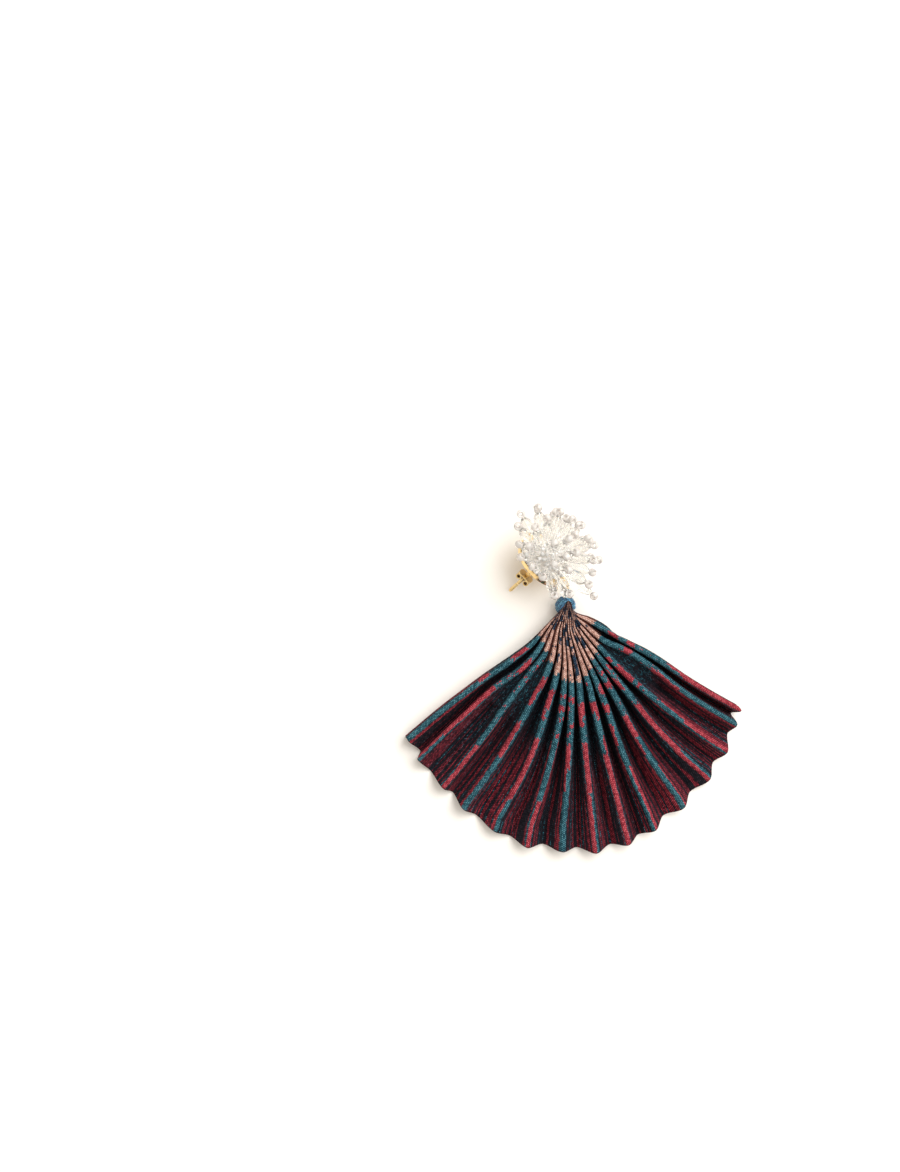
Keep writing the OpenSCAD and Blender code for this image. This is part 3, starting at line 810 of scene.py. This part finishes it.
def ball_core():
    """The ball under its windings, with the bed of the cloth cut away."""
    build = bmesh.new()
    core_radius = (WRAP_RADIUS - 1.7 * WINDING_RADIUS) * MM
    bmesh.ops.create_icosphere(build, subdivisions=5, radius=core_radius)
    bmesh.ops.translate(build, verts=build.verts, vec=KNOT * MM)
    mesh = bpy.data.meshes.new("binding_core")
    build.to_mesh(mesh)
    build.clear()
    above = WRAP_RADIUS + 1
    rings = []
    for level, (left, right, low) in zip(neck_levels, neck_cuts):
        corners = ((left, low), (right, low), (right, above), (left, above))
        rings.append([build.verts.new((KNOT + Vector((x, level, z))) * MM) for x, z in corners])
    for ring, after in zip(rings, rings[1:]):
        for k in range(4):
            build.faces.new((ring[k], ring[k - 1], after[k - 1], after[k]))
    build.faces.new(rings[0])
    build.faces.new(rings[-1][::-1])
    bmesh.ops.recalc_face_normals(build, faces=build.faces)
    cutter_mesh = bpy.data.meshes.new("neck_cutter")
    build.to_mesh(cutter_mesh)
    build.free()
    core = bpy.data.objects.new("binding_core", mesh)
    cutter = bpy.data.objects.new("neck_cutter", cutter_mesh)
    for o in (core, cutter):
        bpy.context.scene.collection.objects.link(o)
    cut = core.modifiers.new("neck", "BOOLEAN")
    cut.operation = "DIFFERENCE"
    cut.object = cutter
    cut.solver = "EXACT"
    bpy.context.view_layer.update()
    evaluated = core.evaluated_get(bpy.context.evaluated_depsgraph_get())
    shaped = bpy.data.meshes.new_from_object(evaluated)
    core.modifiers.clear()
    core.data = shaped
    bpy.data.objects.remove(cutter)
    shaped.materials.clear()
    shaped.materials.append(blue_thread)
    return core


core = ball_core()
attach(core, "earring")
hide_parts("thread_wrap")

# Hanging thread and link. A waxed two-ply thread leaves the ball, runs through one clear cut
# crystal and goes over the gold rim into the sewing of the cluster.
PLATE = KNOT + Vector((-4.9, 11.45, 4.3))
PLATE_LIFT = math.radians(30)
PLATE_HEADING = math.radians(37)
PLATE_RADIUS = 7.3
MOUND_RADIUS = 4.2
PLY_RADIUS = 0.14
# The plies bed into each other by a fifth of their radius
PLY_APART = 0.8
TWIST_PER_MM = 4.2
THREAD_START = 1.2
STRAIGHT_STEPS = 24
RIM_STEPS = 6
plate_axis = Vector((math.cos(PLATE_LIFT) * math.cos(PLATE_HEADING),
                     math.cos(PLATE_LIFT) * math.sin(PLATE_HEADING), math.sin(PLATE_LIFT)))
rim_axis = Vector((math.sin(PLATE_HEADING), -math.cos(PLATE_HEADING), 0))
# Where the thread bends over the rim, and where it goes into the sewing
over_rim = PLATE + rim_axis * (PLATE_RADIUS + 0.6) + plate_axis * 0.75
at_mound = PLATE + rim_axis * (MOUND_RADIUS + 1) + plate_axis * 0.95
thread_way = (over_rim - KNOT).normalized()

line = [KNOT + thread_way * THREAD_START]
straight = (over_rim - line[0]).length
line += [line[0] + thread_way * straight * k / STRAIGHT_STEPS for k in range(1, STRAIGHT_STEPS)]
line += [over_rim + (at_mound - over_rim) * k / RIM_STEPS for k in range(RIM_STEPS + 1)]
plies = []
for phase in (0, math.pi):
    ply, walked = [], 0
    for k, p in enumerate(line):
        walked += (p - line[k - 1]).length if k else 0
        out = turned(*square_to(thread_way), phase + walked * TWIST_PER_MM)
        ply.append((p + out * PLY_RADIUS * PLY_APART) * MM)
    plies.append(tube(ply, PLY_RADIUS * MM, 8))
teal_thread = thread_finish("teal_thread", dye(88, 140, 150), dye(44, 92, 106),
                            dye(18, 46, 56), 3.4)
carrier = new_piece("hanging_thread_plies", *joined(plies), teal_thread)
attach(carrier, "earring")
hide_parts("hanging_thread")

clear_crystal = new_finish("clear_crystal", Base_Color=tint(254, 253, 251),
                           Transmission_Weight=1.0, IOR=1.42, Alpha=0.92)


def clear_to_lamps(finish, share):
    """Lets this share of a lamp's light straight through the glass, for a pale shadow."""
    lamp_ray = step(finish, "ShaderNodeLightPath", {}, out=1)
    passed = step(finish, "ShaderNodeBsdfTransparent", {})
    glass = finish.node_tree.nodes["surface"].outputs[0]
    mixed = step(finish, "ShaderNodeMixShader",
                 {0: reckon(finish, "MULTIPLY", lamp_ray, share), 1: glass, 2: passed})
    output = next(n for n in finish.node_tree.nodes if n.type == "OUTPUT_MATERIAL")
    finish.node_tree.links.new(mixed, output.inputs["Surface"])


clear_to_lamps(clear_crystal, 0.55)
haze = mottle(clear_crystal, place(clear_crystal), 0.35, 2)
coat_with(clear_crystal, Roughness=between(clear_crystal, haze, 0.3, 0.7, 0.04, 0.15))

# The link is cut like the crystals of the cluster, with this many facets round it
CUT_FACETS = 8


def turned_cut(origin, way, profile, hole, spin=0.0):
    """A cut bead round a straight hole. profile holds pairs of distance along and radius."""
    way = way.normalized()
    u, v = square_to(way)
    rings = list(profile) + [(d, hole) for d in (profile[-1][0], profile[0][0])]
    points, faces = [], []
    for g, (d, r) in enumerate(rings):
        for s in range(CUT_FACETS):
            out = turned(u, v, spin + math.pi * (2 * s + g % 2) / CUT_FACETS)
            points.append((origin + way * d + out * r) * MM)
    for g in range(len(rings)):
        here, there = g * CUT_FACETS, (g + 1) % len(rings) * CUT_FACETS
        for s in range(CUT_FACETS):
            n = (s + 1) % CUT_FACETS
            if g % 2:
                faces += [[here + s, here + n, there + n], [here + s, there + n, there + s]]
            else:
                faces += [[here + s, here + n, there + s], [here + n, there + n, there + s]]
    return points, faces


LINK_RADIUS = 1.25
LINK_HALF = 1.5
LINK_GIRDLE = 0.36
link_middle = KNOT + thread_way * (WRAP_RADIUS + 0.1 + LINK_HALF)
link_profile = ((-LINK_HALF, 0.5), (-LINK_GIRDLE, LINK_RADIUS), (LINK_GIRDLE, LINK_RADIUS),
                (LINK_HALF, 0.5))
link = new_piece("link_bicone", *turned_cut(link_middle, thread_way, link_profile, 0.3),
                 clear_crystal, smooth=False)
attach(link, "earring")
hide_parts("link_crystal")

# Stud. A shallow cup pressed from gilt brass, polished inside and on its rim, with the ear post
# soldered to its back. The nut is folded from one strip of the same sheet.
CREASE_REACH = 1.2 * MM
WORN_DEPTH = 0.02 * MM
gilt = new_finish("gilt_brass", Metallic=1.0)
worn = mottle(gilt, place(gilt), 0.5, 4, 0.6)
polished = over(gilt, worn, tint(222, 184, 120), tint(252, 230, 176))
# Painted shade: the gilt is darkened to brown in its creases and hollows, found by ambient
# occlusion
crease_openness = step(gilt, "ShaderNodeAmbientOcclusion", {"Distance": CREASE_REACH}, out=1, samples=8)
free_of_painted_shade = ramp(gilt, crease_openness, 0.3, 0.9)
scratches = mottle(gilt, place(gilt), 4, 3, 0.7)
coat_with(gilt, Base_Color=over(gilt, free_of_painted_shade, tint(120, 84, 34), polished),
          Roughness=between(gilt, scratches, 0.3, 0.7, 0.08, 0.22))
bumped(gilt, worn, WORN_DEPTH)
for name in ("stud_plate", "ear_nut"):
    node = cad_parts[name]
    node.data.materials.clear()
    node.data.materials.append(gilt)

# Sewn bed. A mound of thread and small milky beads sewn through the plate, which holds the feet
# of the crystals, with a ring of the same beads round it that hides the plate.
MOUND_RISE = 1.6
BED_CORE_RADIUS = 3.5
# The mound's foot, as distance above the plate and radius
BED_FOOT = ((-0.95, 0.1), (-0.95, 5.4), (-0.4, 5.55), (0.1, 4.9), (0.5, 3.9))
DOME_RINGS = 10
BED_SIDES = 40
SEED_RADIUS = 0.62
SEED_HALF_WIDTH = 0.42
SEED_HOLE = 0.2
SEED_SIDES = 12
SEED_COUNT = 64
RING_COUNT = 26
RING_RADIUS = 6.2
# Each bead's turn round the mound from the one before, which spreads them evenly
GOLDEN_TURN = math.pi * (3 - math.sqrt(5))
bed_middle = PLATE + plate_axis * MOUND_RISE
up_plate = rim_axis.cross(plate_axis)
linen = thread_finish("linen_sewing", tint(255, 252, 246), tint(252, 247, 239),
                      tint(230, 221, 210), 1.6)


def bed_core():
    """The mound of thread: a dome on a flat foot that fills the plate."""
    points, faces = [], []
    rings = list(BED_FOOT)
    for k in range(DOME_RINGS):
        a = math.radians(90 * k / DOME_RINGS)
        rings.append((MOUND_RISE + BED_CORE_RADIUS * math.sin(a), BED_CORE_RADIUS * math.cos(a)))
    for d, r in rings:
        for s in range(BED_SIDES):
            a = 2 * math.pi * s / BED_SIDES
            wobble = 1 + 0.04 * noise.noise((math.cos(a) * 2, math.sin(a) * 2, d * 0.8))
            out = turned(rim_axis, up_plate, a)
            points.append((PLATE + plate_axis * d + out * r * wobble) * MM)
    for g in range(len(rings) - 1):
        here, there = g * BED_SIDES, (g + 1) * BED_SIDES
        for s in range(BED_SIDES):
            n = (s + 1) % BED_SIDES
            faces.append([here + s, there + s, there + n, here + n])
    faces.append(list(range(BED_SIDES)))
    faces.append(list(range(len(points) - BED_SIDES, len(points)))[::-1])
    return points, faces


bed = new_piece("sewn_bed", *bed_core(), linen)
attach(bed, "earring")
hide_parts("bead_bed")

milky = new_finish("milky_glass", Roughness=0.12, IOR=1.4, Transmission_Weight=0.25)
clear_to_lamps(milky, 0.4)
cloud = mottle(milky, place(milky), 1.2, 2)
coat_with(milky, Base_Color=over(milky, cloud, tint(255, 253, 250), tint(250, 247, 243)))


def round_bead(middle, way, radius, half_width, hole, sides):
    """A small round bead with its hole along way."""
    way = way.normalized()
    u, v = square_to(way)
    ring_middle, ring_radius = (radius + hole) / 2, (radius - hole) / 2
    points, faces, around = [], [], 10
    for s in range(sides):
        out = turned(u, v, 2 * math.pi * s / sides)
        for k in range(around):
            b = 2 * math.pi * k / around
            r = ring_middle + ring_radius * math.cos(b)
            points.append((middle + out * r + way * half_width * math.sin(b)) * MM)
    for s in range(sides):
        n = (s + 1) % sides
        for k in range(around):
            m = (k + 1) % around
            faces.append([s * around + k, n * around + k, n * around + m, s * around + m])
    return points, faces


def seed_bead(middle, way):
    """One of the small beads that are sewn into the mound."""
    return round_bead(middle, way, SEED_RADIUS, SEED_HALF_WIDTH, SEED_HOLE, SEED_SIDES)


seeds = []
for k in range(SEED_COUNT):
    rise = 0.02 + 0.96 * (k + 0.5) / SEED_COUNT
    out = turned(rim_axis, up_plate, k * GOLDEN_TURN)
    way = plate_axis * rise + out * math.sqrt(1 - rise * rise)
    hole_way = way.cross(scattered(1)).normalized()
    seeds.append(seed_bead(bed_middle + way * (BED_CORE_RADIUS + 0.3), hole_way))
for k in range(RING_COUNT):
    out = turned(rim_axis, up_plate, 2 * math.pi * k / RING_COUNT)
    hole_way = rim_axis * rng.uniform(-1, 1) + up_plate * rng.uniform(-1, 1) + plate_axis
    seeds.append(seed_bead(PLATE + out * RING_RADIUS, hole_way))
bed_beads = new_piece("bed_beads", *joined(seeds), milky)
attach(bed_beads, "earring")

# Crystals. Long clear drops, cut with eight facets and drilled from end to end, that stand out
# from the bed in all directions. A thread comes up through each, round its tip bead and back.
DROP_PROFILE = ((0, 0.36), (0.3, 0.76), (0.64, 1.0), (0.86, 0.82), (1, 0.42))
DROP_HOLE = 0.18
STRAND_RADIUS = 0.07
STRAND_ASIDE = 0.1
STRAND_IN_BED = 0.3
STRAND_SHORT = 0.9
CRYSTAL_COUNT = 38
# The tip bead's radius, and its gap from the crystal
TIP_RADIUS = 1.05
TIP_GAP = 0.1
tips, strands = [], []
for number in range(1, CRYSTAL_COUNT + 1):
    node = f"crystal_{number}"
    corners = np.array([v.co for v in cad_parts[node].data.vertices]) / MM
    from_bed = corners - np.array(bed_middle)
    way = Vector(from_bed.mean(0)).normalized()
    along = from_bed @ np.array(way)
    widest = float(np.sqrt((from_bed**2).sum(1) - along**2).max())
    start, end = float(along.min()), float(along.max())
    profile = [(start + (end - start) * s, widest * r) for s, r in DROP_PROFILE]
    spin = rng.uniform(0, math.pi)
    cut = turned_cut(bed_middle, way, profile, DROP_HOLE, spin)
    drop = new_piece(f"drop_{number}", *cut, clear_crystal, smooth=False)
    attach(drop, "earring")
    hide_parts(node)
    tip = bed_middle + way * (end + TIP_GAP + TIP_RADIUS)
    tips.append((tip, way))
    aside = way.orthogonal().normalized() * STRAND_ASIDE
    foot = bed_middle + way * (BED_CORE_RADIUS - STRAND_IN_BED)
    strand = [(foot + aside) * MM, (tip - way * STRAND_SHORT + aside) * MM]
    strands.append(tube(strand, STRAND_RADIUS * MM, 5))
nylon = new_finish("nylon_strand", Roughness=0.3)
haze = mottle(nylon, place(nylon), 2)
coat_with(nylon, Base_Color=over(nylon, haze, tint(248, 243, 236), tint(255, 252, 248)))
strand_piece = new_piece("crystal_strands", *joined(strands), nylon)
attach(strand_piece, "earring")

# Tip beads. One pearly glass seed bead stops the thread at the end of each crystal, lying across
# it with the thread through its hole.
TIP_HALF_WIDTH = 0.72
TIP_HOLE = 0.34
TIP_SIDES = 24
BEADS_PER_GROUP = 7
# Kept a little below white, so that the beads stand out from the crystals
PEARL_LIGHT = 1.12
pearl = new_finish("pearl_glass", Roughness=0.08, IOR=1.4, Transmission_Weight=0.55,
                   Coat_Weight=0.4, Coat_Roughness=0.04)
clear_to_lamps(pearl, 0.3)
lustre = mottle(pearl, place(pearl), 0.8, 2)
# Painted shade: each bead darkens to a grey-brown towards the edges that turn away from view
facing = step(pearl, "ShaderNodeLayerWeight", {"Blend": 0.5}, out=1)
pearl_tint = over(pearl, lustre, tint(250, 245, 240, PEARL_LIGHT),
                  tint(254, 252, 250, PEARL_LIGHT))
painted_edge_shade = tint(206, 192, 180, PEARL_LIGHT)
coat_with(pearl, Base_Color=over(pearl, facing, pearl_tint, painted_edge_shade))
for group in range(math.ceil(len(tips) / BEADS_PER_GROUP)):
    beads = []
    for tip, way in tips[group * BEADS_PER_GROUP:(group + 1) * BEADS_PER_GROUP]:
        hole_way = way.cross(scattered(1))
        beads.append(round_bead(tip, hole_way, TIP_RADIUS, TIP_HALF_WIDTH, TIP_HOLE, TIP_SIDES))
    piece = new_piece(f"pearl_tips_{group + 1}", *joined(beads), pearl)
    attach(piece, "earring")
    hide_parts(f"tip_beads_{group + 1}")
